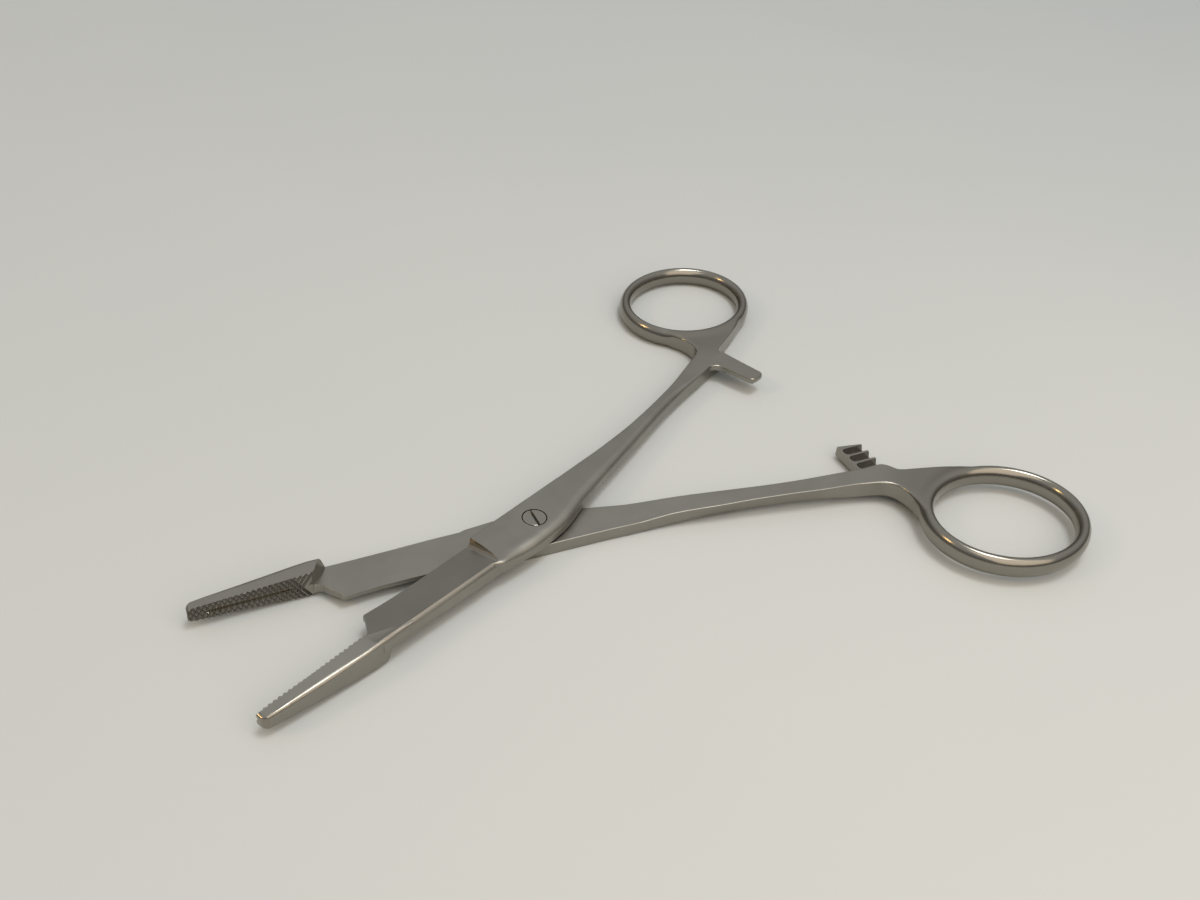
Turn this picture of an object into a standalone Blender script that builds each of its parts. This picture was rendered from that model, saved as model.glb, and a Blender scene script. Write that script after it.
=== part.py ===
"""Needle holder with suture-cutting blades, 140 mm, lap joint with a slotted pivot screw.

Metres, +Z up. The pivot axis is Z through the origin, the rings lie towards +X and the jaws
towards -X, and the instrument lies flat on Z = 0 with its halves open.
Both halves are drawn as the upper one in its own frame: the ring on +Y, the jaw's body on -Y,
its gripping face on Y = 0. The lower one is the same forging turned over about X.
"""

import math

import bmesh
import bpy
from mathutils import Matrix, Vector

# Overall
OPEN_ANGLE = math.radians(24.1)
LAP_GAP = 0.0003
JAW_GAP = 0.0002

# Lock, where the halves cross
LOCK_HEIGHT = 0.0048
LOCK_HEEL_X = -0.0103
LOCK_OUTER_Y = 0.0039
LOCK_INNER_Y = 0.0042
LOCK_FLARE = 0.0002
LOCK_END_X = 0.0100
LOCK_END_IN = 0.00225
LOCK_EDGE = 0.00022
LOCK_STEPS = 8

# Shank
SHANK_WAIST_X = 0.0440
SHANK_WAIST_Y = 0.0066
SHANK_WAIST_W = 0.0024
SHANK_EDGE = 0.00030
SHANK_FALL_X = 0.0200
SHANK_FALL = 0.00040
SHANK_STEP_X = 0.0165
SHANK_STEP_RUN = 0.0095
SHANK_STEP = 0.00085
SHANK_STEPS = 20

# Neck between shank and ring
NECK_X = 0.0575
NECK_BEND = 0.0035
NECK_OUTER_Y = 0.0113
NECK_INNER_Y = 0.0072
NECK_HEIGHT = 0.0032
NECK_EDGE = 0.00085
NECK_STEPS = 16
CROTCH_RUN = 0.0055
CROTCH_DEEP = 0.0023
WEB_INNER = math.radians(269.0)
WEB_OUTER = math.radians(212.0)

# Finger ring
RING_RUN = 0.0159
RING_RISE = 0.0141
RING_A = 0.0135
RING_B = 0.0114
RING_TURN = math.radians(3.5)
RING_WIDTH = 0.0024
RING_HEIGHT = 0.0037
RING_OFFSET = 0.00055
RING_STEPS = 52
RING_SIDES = 14

# Scissor blade
BLADE_EDGE_Y = 0.0035
BLADE_EDGE_T = 0.00075
BLADE_SPINE_Y = 0.0032
BLADE_SPINE_FALL = 0.00012
BLADE_SPINE_BEVEL = 0.0003
BLADE_END_X = -0.0315
BLADE_CORNER = 0.0006
BLADE_TOE_R = 0.0013

# Jaw
JAW_BASE_X = -0.0346
JAW_TIP_X = -0.0522
JAW_BASE_H = 0.0042
JAW_TIP_H = 0.0023
JAW_BASE_W = 0.0030
JAW_TIP_W = 0.0017
JAW_LEAN = 0.00025
JAW_EDGE = 0.0007
JAW_RUNOUT_X = -0.0278
JAW_WALL_IN = 0.0005
JAW_WALL_OUT = 0.0004

# Serrations of the gripping face
SERR_PITCH = 0.0008
SERR_DEPTH = 0.00022
SERR_ANGLE = math.radians(56.0)
SERR_END_X = -0.0362
GROOVE_WIDTH = 0.0006
GROOVE_DEPTH = 0.00035

# Ratchet arm
ARM_RUN = 0.0010
UPPER_ARM_W = 0.0040
LOWER_ARM_W = 0.0049
ARM_REACH = 0.0015
ARM_SLANT = 0.0008
ARM_ROOT = 0.0014
ARM_FILLET = 0.0022
ARM_EDGE = 0.00018
ARM_GAP = 0.0001
TOOTH_PITCH = 0.0021
TOOTH_COUNT = 3
TOOTH_FIRST_Y = -0.0006
TOOTH_RIM = 0.0007
UPPER_ARM_T = 0.00105
UPPER_TOOTH = 0.00060
LOWER_ARM_T = 0.00170
LOWER_TOOTH = 0.00105

# Pivot screw
HEAD_R = 0.00185
HEAD_CONE = 0.0007
HEAD_BAND = 0.0003
BODY_R = 0.0013
THREAD_R = 0.0011
SCREW_CLEAR = 0.00015
SLOT_WIDTH = 0.00045
SLOT_DEPTH = 0.0007
SLOT_TURN = math.radians(78.0)

MID = LOCK_HEIGHT / 2
HALF_BASE = MID + LAP_GAP / 2
CROTCH_X = NECK_X + CROTCH_RUN
CROTCH_Y = NECK_INNER_Y + CROTCH_DEEP
RING_X = NECK_X + RING_RUN
RING_Y = NECK_OUTER_Y + RING_RISE
ARM_X0 = NECK_X + ARM_RUN
ARM_LOW = MID + (LAP_GAP - ARM_GAP) / 2


def clear_scene():
    for ob in list(bpy.data.objects):
        bpy.data.objects.remove(ob, do_unlink=True)


def collection(name):
    col = bpy.data.collections.new(name)
    bpy.context.scene.collection.children.link(col)
    return col


def steel(name, colour, roughness):
    mat = bpy.data.materials.new(name)
    mat.use_nodes = True
    bsdf = mat.node_tree.nodes["Principled BSDF"]
    bsdf.inputs["Base Color"].default_value = (*colour, 1.0)
    bsdf.inputs["Roughness"].default_value = roughness
    bsdf.inputs["Metallic"].default_value = 1.0
    return mat


def place(bm, name, col):
    bmesh.ops.recalc_face_normals(bm, faces=bm.faces)
    me = bpy.data.meshes.new(name)
    bm.to_mesh(me)
    bm.free()
    ob = bpy.data.objects.new(name, me)
    col.objects.link(ob)
    return ob


def cutter(bm, name, col):
    ob = place(bm, name, col)
    ob.hide_render = True
    ob.display_type = "WIRE"
    return ob


def apply_boolean(target, other, operation):
    mod = target.modifiers.new(other.name, "BOOLEAN")
    mod.operation = operation
    mod.solver = "EXACT"
    mod.object = other
    bpy.context.view_layer.update()
    graph = bpy.context.evaluated_depsgraph_get()
    made = bpy.data.meshes.new_from_object(target.evaluated_get(graph))
    target.modifiers.remove(mod)
    old = target.data
    target.data = made
    bpy.data.meshes.remove(old)


def through(points, x):
    """Smooth curve through (x, value) points, by cubic pieces with limited slopes."""
    n = len(points)
    if x <= points[0][0]:
        return points[0][1]
    if x >= points[-1][0]:
        return points[-1][1]
    rise = [
        (points[i + 1][1] - points[i][1]) / (points[i + 1][0] - points[i][0])
        for i in range(n - 1)
    ]
    slope = [rise[0]]
    for i in range(1, n - 1):
        same = rise[i - 1] * rise[i] > 0
        slope.append(2 * rise[i - 1] * rise[i] / (rise[i - 1] + rise[i]) if same else 0.0)
    slope.append(rise[-1])
    i = max(k for k in range(n - 1) if points[k][0] <= x)
    w = points[i + 1][0] - points[i][0]
    t = (x - points[i][0]) / w
    a = (1 + 2 * t) * (1 - t) ** 2
    b = t * (1 - t) ** 2
    c = t * t * (3 - 2 * t)
    d = t * t * (t - 1)
    return a * points[i][1] + b * w * slope[i] + c * points[i + 1][1] + d * w * slope[i + 1]


def loft(bm, sections, closed=False):
    """Skins a row of sections that have the same number of points."""
    rows = [[bm.verts.new(p) for p in s] for s in sections]
    n = len(rows[0])
    pairs = list(zip(rows, rows[1:]))
    if closed:
        pairs.append((rows[-1], rows[0]))
    for a, b in pairs:
        for i in range(n):
            j = (i + 1) % n
            bm.faces.new((a[i], a[j], b[j], b[i]))
    if not closed:
        bm.faces.new(rows[0])
        bm.faces.new(list(reversed(rows[-1])))


def prism(bm, outline, z0, z1):
    """A flat outline extruded from z0 to z1."""
    low = [bm.verts.new((x, y, z0)) for x, y in outline]
    face = bm.faces.new(low)
    made = bmesh.ops.extrude_face_region(bm, geom=[face])
    top = [v for v in made["geom"] if isinstance(v, bmesh.types.BMVert)]
    bmesh.ops.translate(bm, verts=top, vec=(0, 0, z1 - z0))
    return top


def arc(cx, cy, r, a0, a1, steps):
    out = []
    for i in range(steps + 1):
        a = math.radians(a0 + (a1 - a0) * i / steps)
        out.append((cx + r * math.cos(a), cy + r * math.sin(a)))
    return out


def bar_section(inner, outer, zc, h, edge):
    """Rectangle with broken corners, upright between two plan points."""
    a = Vector((inner[0], inner[1], zc))
    b = Vector((outer[0], outer[1], zc))
    along = (b - a).normalized()
    up = Vector((0, 0, 1))
    e = min(edge, (b - a).length * 0.45, h * 0.45)
    k = e * 0.3
    pts = []
    for base, side in ((b, -1), (a, 1)):
        zs = (-1, 1) if side < 0 else (1, -1)
        for z in zs:
            corner = base + up * (z * h / 2)
            down = corner - up * (z * e)
            mid = corner + along * (side * k) - up * (z * k)
            inward = corner + along * (side * e)
            first = zs.index(z) == 0
            pts += [inward, mid, down] if first else [down, mid, inward]
    return pts


def shank_top(x):
    """The lock's level, then a long straight fall to the neck's."""
    neck = MID - RING_OFFSET + NECK_HEIGHT / 2
    drop = LOCK_HEIGHT - SHANK_FALL
    return through(
        [
            (LOCK_END_X * 0.8, LOCK_HEIGHT),
            ((LOCK_END_X + SHANK_FALL_X) / 2, LOCK_HEIGHT - SHANK_FALL * 0.4),
            (SHANK_FALL_X, drop),
            (CROTCH_X, neck),
        ],
        x,
    )


def shank_low(x):
    """The lap's level, a short step clear of the lock, then the fall to the neck's."""
    neck = MID - RING_OFFSET - NECK_HEIGHT / 2
    foot = HALF_BASE - SHANK_STEP
    return through(
        [
            (SHANK_STEP_X, HALF_BASE),
            (SHANK_STEP_X + SHANK_STEP_RUN, foot),
            (CROTCH_X, neck),
        ],
        x,
    )


def outer_y(x):
    half = SHANK_WAIST_W / 2
    return through(
        [
            (LOCK_HEEL_X, LOCK_OUTER_Y - LOCK_FLARE),
            (0.0, LOCK_OUTER_Y),
            (LOCK_END_X, LOCK_OUTER_Y + LOCK_FLARE),
            ((LOCK_END_X + SHANK_WAIST_X) / 2, LOCK_OUTER_Y * 0.45 + (SHANK_WAIST_Y + half) * 0.44),
            (SHANK_WAIST_X, SHANK_WAIST_Y + half),
            (NECK_X, NECK_OUTER_Y),
        ],
        x,
    )


def inner_y(x):
    half = SHANK_WAIST_W / 2
    return through(
        [
            (LOCK_HEEL_X, (-BLADE_SPINE_Y - LOCK_INNER_Y) / 2),
            (LOCK_HEEL_X * 0.3, -LOCK_INNER_Y),
            (LOCK_END_X * 0.25, -LOCK_INNER_Y + LOCK_FLARE),
            (LOCK_END_X, -LOCK_INNER_Y + LOCK_END_IN),
            ((LOCK_END_X + SHANK_WAIST_X) / 2, (SHANK_WAIST_Y - half) * 0.34),
            (SHANK_WAIST_X, SHANK_WAIST_Y - half),
            (NECK_X, NECK_INNER_Y),
        ],
        x,
    )


def ring_point(angle, grow_a, grow_b):
    x = (RING_A + grow_a) * math.cos(angle)
    y = (RING_B + grow_b) * math.sin(angle)
    c, s = math.cos(RING_TURN), math.sin(RING_TURN)
    return RING_X + x * c - y * s, RING_Y + x * s + y * c


def bar_row(inner, outer, x, edge):
    """One cross-section of the bar, at the height that the shank has at x."""
    top = shank_top(x)
    low = shank_low(x)
    return bar_section(inner, outer, (top + low) / 2, top - low, edge)


def make_bar(col, name):
    """Lock, shank and neck in one sweep, ending inside the ring's tube."""
    sections = []
    for i in range(LOCK_STEPS):
        x = LOCK_HEEL_X + (LOCK_END_X - LOCK_HEEL_X) * i / LOCK_STEPS
        sections.append(bar_row((x, inner_y(x)), (x, outer_y(x)), x, LOCK_EDGE))
    last = NECK_X - NECK_BEND
    for i in range(SHANK_STEPS):
        t = i / (SHANK_STEPS - 1)
        x = LOCK_END_X + (last - LOCK_END_X) * t
        edge = LOCK_EDGE + (SHANK_EDGE - LOCK_EDGE) * min(1.0, t * 1.6)
        sections.append(bar_row((x, inner_y(x)), (x, outer_y(x)), x, edge))
    crotch = CROTCH_DEEP
    sunk = RING_WIDTH * 0.4
    inner = [
        (last, inner_y(last)),
        (NECK_X, NECK_INNER_Y),
        (NECK_X + CROTCH_RUN * 0.6, NECK_INNER_Y),
        (NECK_X + CROTCH_RUN * 0.86, NECK_INNER_Y + crotch * 0.45),
        (CROTCH_X, CROTCH_Y),
        (CROTCH_X + crotch * 0.55, CROTCH_Y + crotch * 0.23),
        (CROTCH_X + crotch * 1.7, CROTCH_Y + crotch * 0.5),
        ring_point(WEB_INNER, sunk, sunk),
    ]
    end = ring_point(WEB_OUTER, sunk, sunk)
    wide, tall = end[0] - NECK_X, end[1] - NECK_OUTER_Y
    outer = [
        (last, outer_y(last)),
        (NECK_X - wide * 0.3, NECK_OUTER_Y - tall * 0.04),
        (NECK_X + wide * 0.25, NECK_OUTER_Y + tall * 0.06),
        (NECK_X + wide * 0.6, NECK_OUTER_Y + tall * 0.2),
        (NECK_X + wide * 0.82, NECK_OUTER_Y + tall * 0.4),
        (NECK_X + wide * 0.92, NECK_OUTER_Y + tall * 0.6),
        (NECK_X + wide * 0.96, NECK_OUTER_Y + tall * 0.8),
        end,
    ]
    for i in range(1, NECK_STEPS + 1):
        t = i / NECK_STEPS
        n = along(inner, t)
        o = along(outer, t)
        edge = SHANK_EDGE + (NECK_EDGE - SHANK_EDGE) * t
        sections.append(bar_row(n, o, (o[0] + n[0]) / 2, edge))
    bm = bmesh.new()
    loft(bm, sections)
    return place(bm, name, col)


def along(points, t):
    """Plan point at share t of a smooth path through the points."""
    last = len(points) - 1
    return tuple(through([(i, p[k]) for i, p in enumerate(points)], t * last) for k in range(2))


def bend(a, b, c, t):
    """Quadratic curve from a to c that leans towards b."""
    return tuple(
        (1 - t) ** 2 * a[k] + 2 * t * (1 - t) * b[k] + t * t * c[k] for k in range(2)
    )


def rounded(corners, steps):
    """Outline with each (x, y, radius) corner rounded off."""
    out = []
    n = len(corners)
    for i, (x, y, r) in enumerate(corners):
        if r == 0:
            out.append((x, y))
            continue
        here = Vector((x, y))
        back = Vector(corners[i - 1][:2])
        ahead = Vector(corners[(i + 1) % n][:2])
        a = here + (back - here).normalized() * min(r, (back - here).length * 0.48)
        c = here + (ahead - here).normalized() * min(r, (ahead - here).length * 0.48)
        out += [bend(a, here, c, k / steps) for k in range(steps + 1)]
    return out


def make_ring(col, name):
    sections = []
    for i in range(RING_STEPS):
        t = 2 * math.pi * i / RING_STEPS
        cx, cy = ring_point(t, 0, 0)
        nx, ny = ring_point(t, RING_WIDTH, RING_WIDTH)
        out = Vector((nx - cx, ny - cy, 0)).normalized()
        row = []
        for k in range(RING_SIDES):
            a = 2 * math.pi * (k + 0.5) / RING_SIDES
            c, s = math.cos(a), math.sin(a)
            u = math.copysign(abs(c) ** 0.85, c) * RING_WIDTH / 2
            w = math.copysign(abs(s) ** 0.85, s) * RING_HEIGHT / 2
            row.append(Vector((cx, cy, MID - RING_OFFSET)) + out * u + Vector((0, 0, w)))
        sections.append(row)
    bm = bmesh.new()
    loft(bm, sections, closed=True)
    return place(bm, name, col)


def blade_edge_y(x):
    """Cutting edge in plan, a little hollow along its middle."""
    run = LOCK_HEEL_X - BLADE_END_X
    hollow = BLADE_EDGE_T / 2
    return through(
        [
            (BLADE_END_X, BLADE_EDGE_Y + hollow),
            (BLADE_END_X + run * 0.35, BLADE_EDGE_Y),
            (LOCK_HEEL_X + run * 0.1, BLADE_EDGE_Y + hollow / 2),
        ],
        x,
    )


def make_blade(col, name):
    """Scissor blade: flat on the lap side, its outer face falling from spine to edge."""
    start = LOCK_HEEL_X + BLADE_SPINE_Y / 3
    wide = -inner_y(LOCK_HEEL_X)
    outline = []
    for i in range(6):
        t = i / 5
        x = start + (BLADE_END_X - start) * t
        outline.append((x, -BLADE_SPINE_Y - (wide - BLADE_SPINE_Y) * (1 - t) ** 2))
    r = BLADE_TOE_R
    outline.append((JAW_BASE_X + r * 0.9, -BLADE_SPINE_Y))
    outline.append((JAW_BASE_X - r * 0.45, -r * 0.3))
    outline += arc(JAW_BASE_X + r * 0.25, r, r, 270, 336, 4)
    edge = blade_edge_y(BLADE_END_X)
    c = BLADE_CORNER
    outline += arc(BLADE_END_X + c, edge - c, c, 188, 96, 3)
    for i in range(1, 7):
        x = BLADE_END_X + c + (start - BLADE_END_X - c) * i / 6
        outline.append((x, blade_edge_y(x)))
    bm = bmesh.new()
    prism(bm, outline, HALF_BASE, LOCK_HEIGHT + LAP_GAP)
    b = BLADE_SPINE_BEVEL
    spine = Vector((0, -BLADE_SPINE_Y + b, LOCK_HEIGHT - BLADE_SPINE_FALL))
    toe = Vector((0, BLADE_EDGE_Y, HALF_BASE + BLADE_EDGE_T))
    fall = toe - spine
    normal = Vector((0, -fall.z, fall.y)).normalized()
    cut_flat(bm, spine, normal)
    rim = Vector((0, -BLADE_SPINE_Y, spine.z - b))
    cut_flat(bm, rim, Vector((0, -0.8, 0.6)))
    return place(bm, name, col)


def cut_flat(bm, point, normal):
    """Takes away what lies beyond a plane and closes the cut."""
    geom = list(bm.verts) + list(bm.edges) + list(bm.faces)
    made = bmesh.ops.bisect_plane(
        bm, geom=geom, plane_co=point, plane_no=normal, clear_outer=True, dist=1e-8
    )
    rim = [e for e in made["geom_cut"] if isinstance(e, bmesh.types.BMEdge)]
    bmesh.ops.contextual_create(bm, geom=rim)


def jaw_inner(x):
    """The gripping face, proud at the tip, and the diagonal where the jaw runs out."""
    face = -JAW_GAP / 2
    if x <= JAW_BASE_X:
        return face + JAW_LEAN * (JAW_BASE_X - x) / (JAW_BASE_X - JAW_TIP_X)
    t = (x - JAW_BASE_X) / (JAW_RUNOUT_X - JAW_BASE_X)
    return face - BLADE_SPINE_Y * 0.8 * t


def make_jaw(col, name):
    span = JAW_BASE_X - JAW_TIP_X
    stations = [JAW_RUNOUT_X, (JAW_RUNOUT_X + JAW_BASE_X) / 2, JAW_BASE_X]
    stations += [JAW_BASE_X - span * f for f in (0.14, 0.28, 0.42, 0.56, 0.70, 0.82, 0.91)]
    tip_r = JAW_TIP_W * 0.62
    stations += [JAW_TIP_X + tip_r * (1 - math.sin(math.radians(a))) for a in (35, 60, 80)]
    sections = []
    for x in stations:
        t = max(0.0, (JAW_BASE_X - x) / span)
        w = JAW_BASE_W + (JAW_TIP_W - JAW_BASE_W) * t ** 1.25
        h = JAW_BASE_H + (JAW_TIP_H - JAW_BASE_H) * t
        nose = max(0.0, 1 - (x - JAW_TIP_X) / tip_r)
        round_off = math.sqrt(max(0.0, 1 - nose * nose))
        w = w * (0.35 + 0.65 * round_off)
        h = h * (0.66 + 0.34 * round_off)
        sections.append(jaw_section(x, jaw_inner(x), -w, h))
    bm = bmesh.new()
    loft(bm, sections)
    return place(bm, name, col)


def jaw_section(x, yi, yo, h):
    """Flat gripping side, broken corners, rounded back."""
    e = min(JAW_EDGE, (yi - yo) * 0.55, h * 0.45)
    top = h / 2
    k = SERR_DEPTH / 2
    pts = [(yi, -top + k), (yi, top - k), (yi - k, top)]
    for a in (90, 122, 154):
        r = math.radians(a)
        pts.append((yo + e + e * math.cos(r), top - e + e * math.sin(r)))
    pts.append((yo, top * 0.3))
    pts.append((yo, -top * 0.3))
    for a in (206, 238, 270):
        r = math.radians(a)
        pts.append((yo + e + e * math.cos(r), -top + e + e * math.sin(r)))
    pts.append((yi - k, -top))
    return [Vector((x, y, MID + z)) for y, z in pts]


def make_clearance(col, name):
    """Room under the blade for the other half's blade, with a sloping wall at the jaw."""
    near = JAW_BASE_X - LAP_GAP
    mid = BLADE_END_X - BLADE_TOE_R
    far = BLADE_END_X
    beyond = JAW_BASE_W * 3
    last = JAW_RUNOUT_X + beyond
    bm = bmesh.new()
    rows = []
    for z, back in ((HALF_BASE, 0.0), (MID - JAW_BASE_H, 1.0)):
        inside = JAW_WALL_IN * back
        outside = JAW_WALL_OUT * back
        rows.append(
            [
                Vector((near - inside, JAW_GAP, z)),
                Vector((mid - inside, -BLADE_EDGE_Y / 2, z)),
                Vector((far - outside, -JAW_BASE_W * 1.25, z)),
                Vector((far - outside, -beyond, z)),
                Vector((last, -beyond, z)),
                Vector((last, beyond, z)),
                Vector((near - inside, beyond, z)),
            ]
        )
    loft(bm, rows)
    return cutter(bm, name, col)


def make_serrations(col, name, lean):
    """Rows of V grooves across the gripping face, all leaning one way."""
    bm = bmesh.new()
    reach = JAW_BASE_H * 0.75
    run = reach / math.tan(SERR_ANGLE)
    over = SERR_DEPTH / 2
    wide = SERR_PITCH * 0.42 + over
    deep = SERR_DEPTH * (1.0 - 0.05 * lean) + over
    count = int((SERR_END_X - JAW_TIP_X) / SERR_PITCH) + 1
    for i in range(count):
        x = SERR_END_X - SERR_PITCH * (i + 0.13 * lean)
        rows = []
        for side in (-1, 1):
            cx = x + lean * side * run
            z = MID + side * reach
            y = jaw_inner(min(cx, JAW_BASE_X)) + over
            rows.append(
                [
                    Vector((cx - wide, y, z)),
                    Vector((cx, y - deep, z)),
                    Vector((cx + wide, y, z)),
                ]
            )
        loft(bm, rows)
    return cutter(bm, name, col)


def make_groove(col, name):
    """Channel along the middle of the gripping face, running out at both ends."""
    bm = bmesh.new()
    runout = GROOVE_WIDTH * 1.6
    x0 = JAW_TIP_X + JAW_TIP_W * 1.6
    x1 = SERR_END_X - SERR_PITCH * 2
    half = GROOVE_WIDTH / 2
    rows = []
    for x, share in ((x0 - runout, -0.3), (x0, 1.0), (x1, 1.0), (x1 + runout, -0.3)):
        face = jaw_inner(x)
        y = face - GROOVE_DEPTH * share
        rows.append(
            [
                Vector((x, face + half, MID - half)),
                Vector((x, y, MID - half * 0.4)),
                Vector((x, y, MID + half * 0.4)),
                Vector((x, face + half, MID + half)),
            ]
        )
    loft(bm, rows)
    return cutter(bm, name, col)


def make_arm(col, name, thick, upper):
    """Ratchet arm reaching past the middle line, blended into the neck on the lock's side."""
    root = NECK_INNER_Y + ARM_ROOT
    f = ARM_FILLET
    foot = NECK_INNER_Y
    wide = UPPER_ARM_W if upper else LOWER_ARM_W
    side = ARM_X0 + wide
    tip = -ARM_REACH
    if upper:
        end = [(side, tip, wide * 0.35), (ARM_X0 + wide * 0.12, tip + ARM_EDGE, wide * 0.25)]
    else:
        end = [(side, tip + ARM_SLANT, ARM_SLANT / 2), (ARM_X0, tip, ARM_SLANT / 2)]
    corners = [
        (side + wide * 0.06, root, 0),
        (side, foot - f, 0),
        *end,
        (ARM_X0, foot - f, 0),
        (ARM_X0 - f * 0.08, foot - f * 0.62, 0),
        (ARM_X0 - f * 0.30, foot - f * 0.30, 0),
        (ARM_X0 - f * 0.64, foot - f * 0.10, 0),
        (ARM_X0 - f * 1.10, foot + f * 0.02, 0),
        (ARM_X0 - f * 1.10, root, 0),
    ]
    bm = bmesh.new()
    prism(bm, rounded(corners, 4), ARM_LOW, ARM_LOW + thick)
    soft = [
        e
        for e in bm.edges
        if all(v.co.z > ARM_LOW + thick / 2 for v in e.verts)
        and max(v.co.y for v in e.verts) < root - ARM_EDGE / 2
    ]
    bmesh.ops.bevel(
        bm, geom=soft, offset=ARM_EDGE, segments=2, profile=0.5, affect="EDGES", material=-1
    )
    return place(bm, name, col)


def make_teeth(col, name, depth, upper):
    """Saw-tooth notches, blind towards the lock and open towards the ring."""
    under = ARM_LOW - ARM_GAP
    x0 = ARM_X0 + TOOTH_RIM
    far = ARM_X0 + LOWER_ARM_W * 1.5
    first = -1 if upper else 0
    bm = bmesh.new()
    for i in range(first, TOOTH_COUNT):
        crest = TOOTH_FIRST_Y + TOOTH_PITCH * i
        foot = crest + TOOTH_PITCH * 0.20
        rise = crest + TOOTH_PITCH * 0.95
        rows = []
        for run, share in ((0.0, 0.45), (0.6, 0.9), (1.3, 1.0)):
            rows.append((x0 + TOOTH_RIM * run, ARM_LOW + depth * share))
        rows.append((far, ARM_LOW + depth))
        loft(
            bm,
            [
                [
                    Vector((x, crest, under)),
                    Vector((x, foot, top)),
                    Vector((x, foot + TOOTH_PITCH * 0.12, top)),
                    Vector((x, rise, under)),
                ]
                for x, top in rows
            ],
        )
    return cutter(bm, name, col)


def make_bore(col, name, upper):
    """Countersunk hole in the upper half, plain hole in the lower one."""
    bm = bmesh.new()
    top = LOCK_HEIGHT + LAP_GAP
    low = HALF_BASE - LAP_GAP
    if upper:
        r = HEAD_R + SCREW_CLEAR
        neck = BODY_R + SCREW_CLEAR
        seat = LOCK_HEIGHT - HEAD_BAND
        turn = [(r, top), (r, seat), (neck, seat - HEAD_CONE), (neck, low)]
    else:
        neck = THREAD_R + SCREW_CLEAR
        turn = [(neck, top), (neck, low)]
    rows = [ring_row(r, z, 32) for r, z in turn]
    loft(bm, rows)
    return cutter(bm, name, col)


def ring_row(r, z, sides):
    out = []
    for k in range(sides):
        a = 2 * math.pi * k / sides
        out.append(Vector((r * math.cos(a), r * math.sin(a), z)))
    return out


def make_half(name, col, cut_col, mat, upper):
    body = make_bar(col, name)
    thick = UPPER_ARM_T if upper else LOWER_ARM_T
    depth = UPPER_TOOTH if upper else LOWER_TOOTH
    jaw = make_jaw(cut_col, name + "_jaw")
    apply_boolean(jaw, make_clearance(cut_col, name + "_clearance"), "DIFFERENCE")
    arm = make_arm(cut_col, name + "_arm", thick, upper)
    apply_boolean(arm, make_teeth(cut_col, name + "_teeth", depth, upper), "DIFFERENCE")
    for piece in (make_ring(cut_col, name + "_ring"), make_blade(cut_col, name + "_blade"), jaw, arm):
        apply_boolean(body, piece, "UNION")
        piece.hide_render = True
        piece.display_type = "WIRE"
    for lean in (-1, 1):
        cut = make_serrations(cut_col, name + "_serration" + str(lean + 1), lean)
        apply_boolean(body, cut, "DIFFERENCE")
    apply_boolean(body, make_groove(cut_col, name + "_groove"), "DIFFERENCE")
    apply_boolean(body, make_bore(cut_col, name + "_bore", upper), "DIFFERENCE")
    bm = bmesh.new()
    bm.from_mesh(body.data)
    bmesh.ops.remove_doubles(bm, verts=bm.verts, dist=2e-6)
    bmesh.ops.dissolve_degenerate(bm, edges=bm.edges, dist=2e-6)
    turn = OPEN_ANGLE / 2
    if not upper:
        centre = Matrix.Translation((0, 0, MID))
        bm.transform(centre @ Matrix.Rotation(math.pi, 4, "X") @ centre.inverted())
        turn = -turn
    bmesh.ops.recalc_face_normals(bm, faces=bm.faces)
    bm.to_mesh(body.data)
    bm.free()
    body.rotation_euler = (0, 0, turn)
    body.data.materials.clear()
    body.data.materials.append(mat)
    body.data.shade_smooth()
    body.data.set_sharp_from_angle(angle=math.radians(28))
    return body


def make_screw(name, col, cut_col, mat):
    """Turned screw: flush countersunk head, plain body, threaded end flush below."""
    seat = LOCK_HEIGHT - HEAD_BAND
    low = MID - LAP_GAP / 2
    profile = [(0.0, LOCK_HEIGHT), (HEAD_R, LOCK_HEIGHT), (HEAD_R, seat), (BODY_R, seat - HEAD_CONE)]
    profile += [(BODY_R, HALF_BASE), (THREAD_R, low), (THREAD_R, 0.0), (0.0, 0.0)]
    me = bpy.data.meshes.new(name)
    edges = [(i, i + 1) for i in range(len(profile) - 1)]
    me.from_pydata([(x, 0.0, z) for x, z in profile], edges, [])
    ob = bpy.data.objects.new(name, me)
    col.objects.link(ob)
    spin = ob.modifiers.new("turn", "SCREW")
    spin.steps = 32
    spin.render_steps = 32
    spin.use_merge_vertices = True
    spin.merge_threshold = 0.00001
    bm = bmesh.new()
    half = SLOT_WIDTH / 2
    reach = HEAD_R * 1.5
    outline = [(-reach, -half), (reach, -half), (reach, half), (-reach, half)]
    prism(bm, outline, LOCK_HEIGHT - SLOT_DEPTH, LOCK_HEIGHT + SLOT_DEPTH)
    bm.transform(Matrix.Rotation(SLOT_TURN, 4, "Z"))
    slot = cutter(bm, name + "_slot", cut_col)
    cut = ob.modifiers.new("slot", "BOOLEAN")
    cut.operation = "DIFFERENCE"
    cut.solver = "EXACT"
    cut.object = slot
    ob.data.materials.append(mat)
    return ob


def main():
    clear_scene()
    parts = collection("needle_holder")
    cutters = collection("cutters")
    cutters.hide_render = True
    satin = steel("satin_steel", (0.40, 0.39, 0.36), 0.34)
    satin_low = steel("satin_steel_lower", (0.38, 0.37, 0.34), 0.36)
    bright = steel("screw_steel", (0.46, 0.45, 0.42), 0.28)
    make_half("upper_half", parts, cutters, satin, True)
    make_half("lower_half", parts, cutters, satin_low, False)
    make_screw("pivot_screw", parts, cutters, bright)


main()
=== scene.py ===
import math

import bmesh
import bpy
from mathutils import Matrix, Vector


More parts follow.
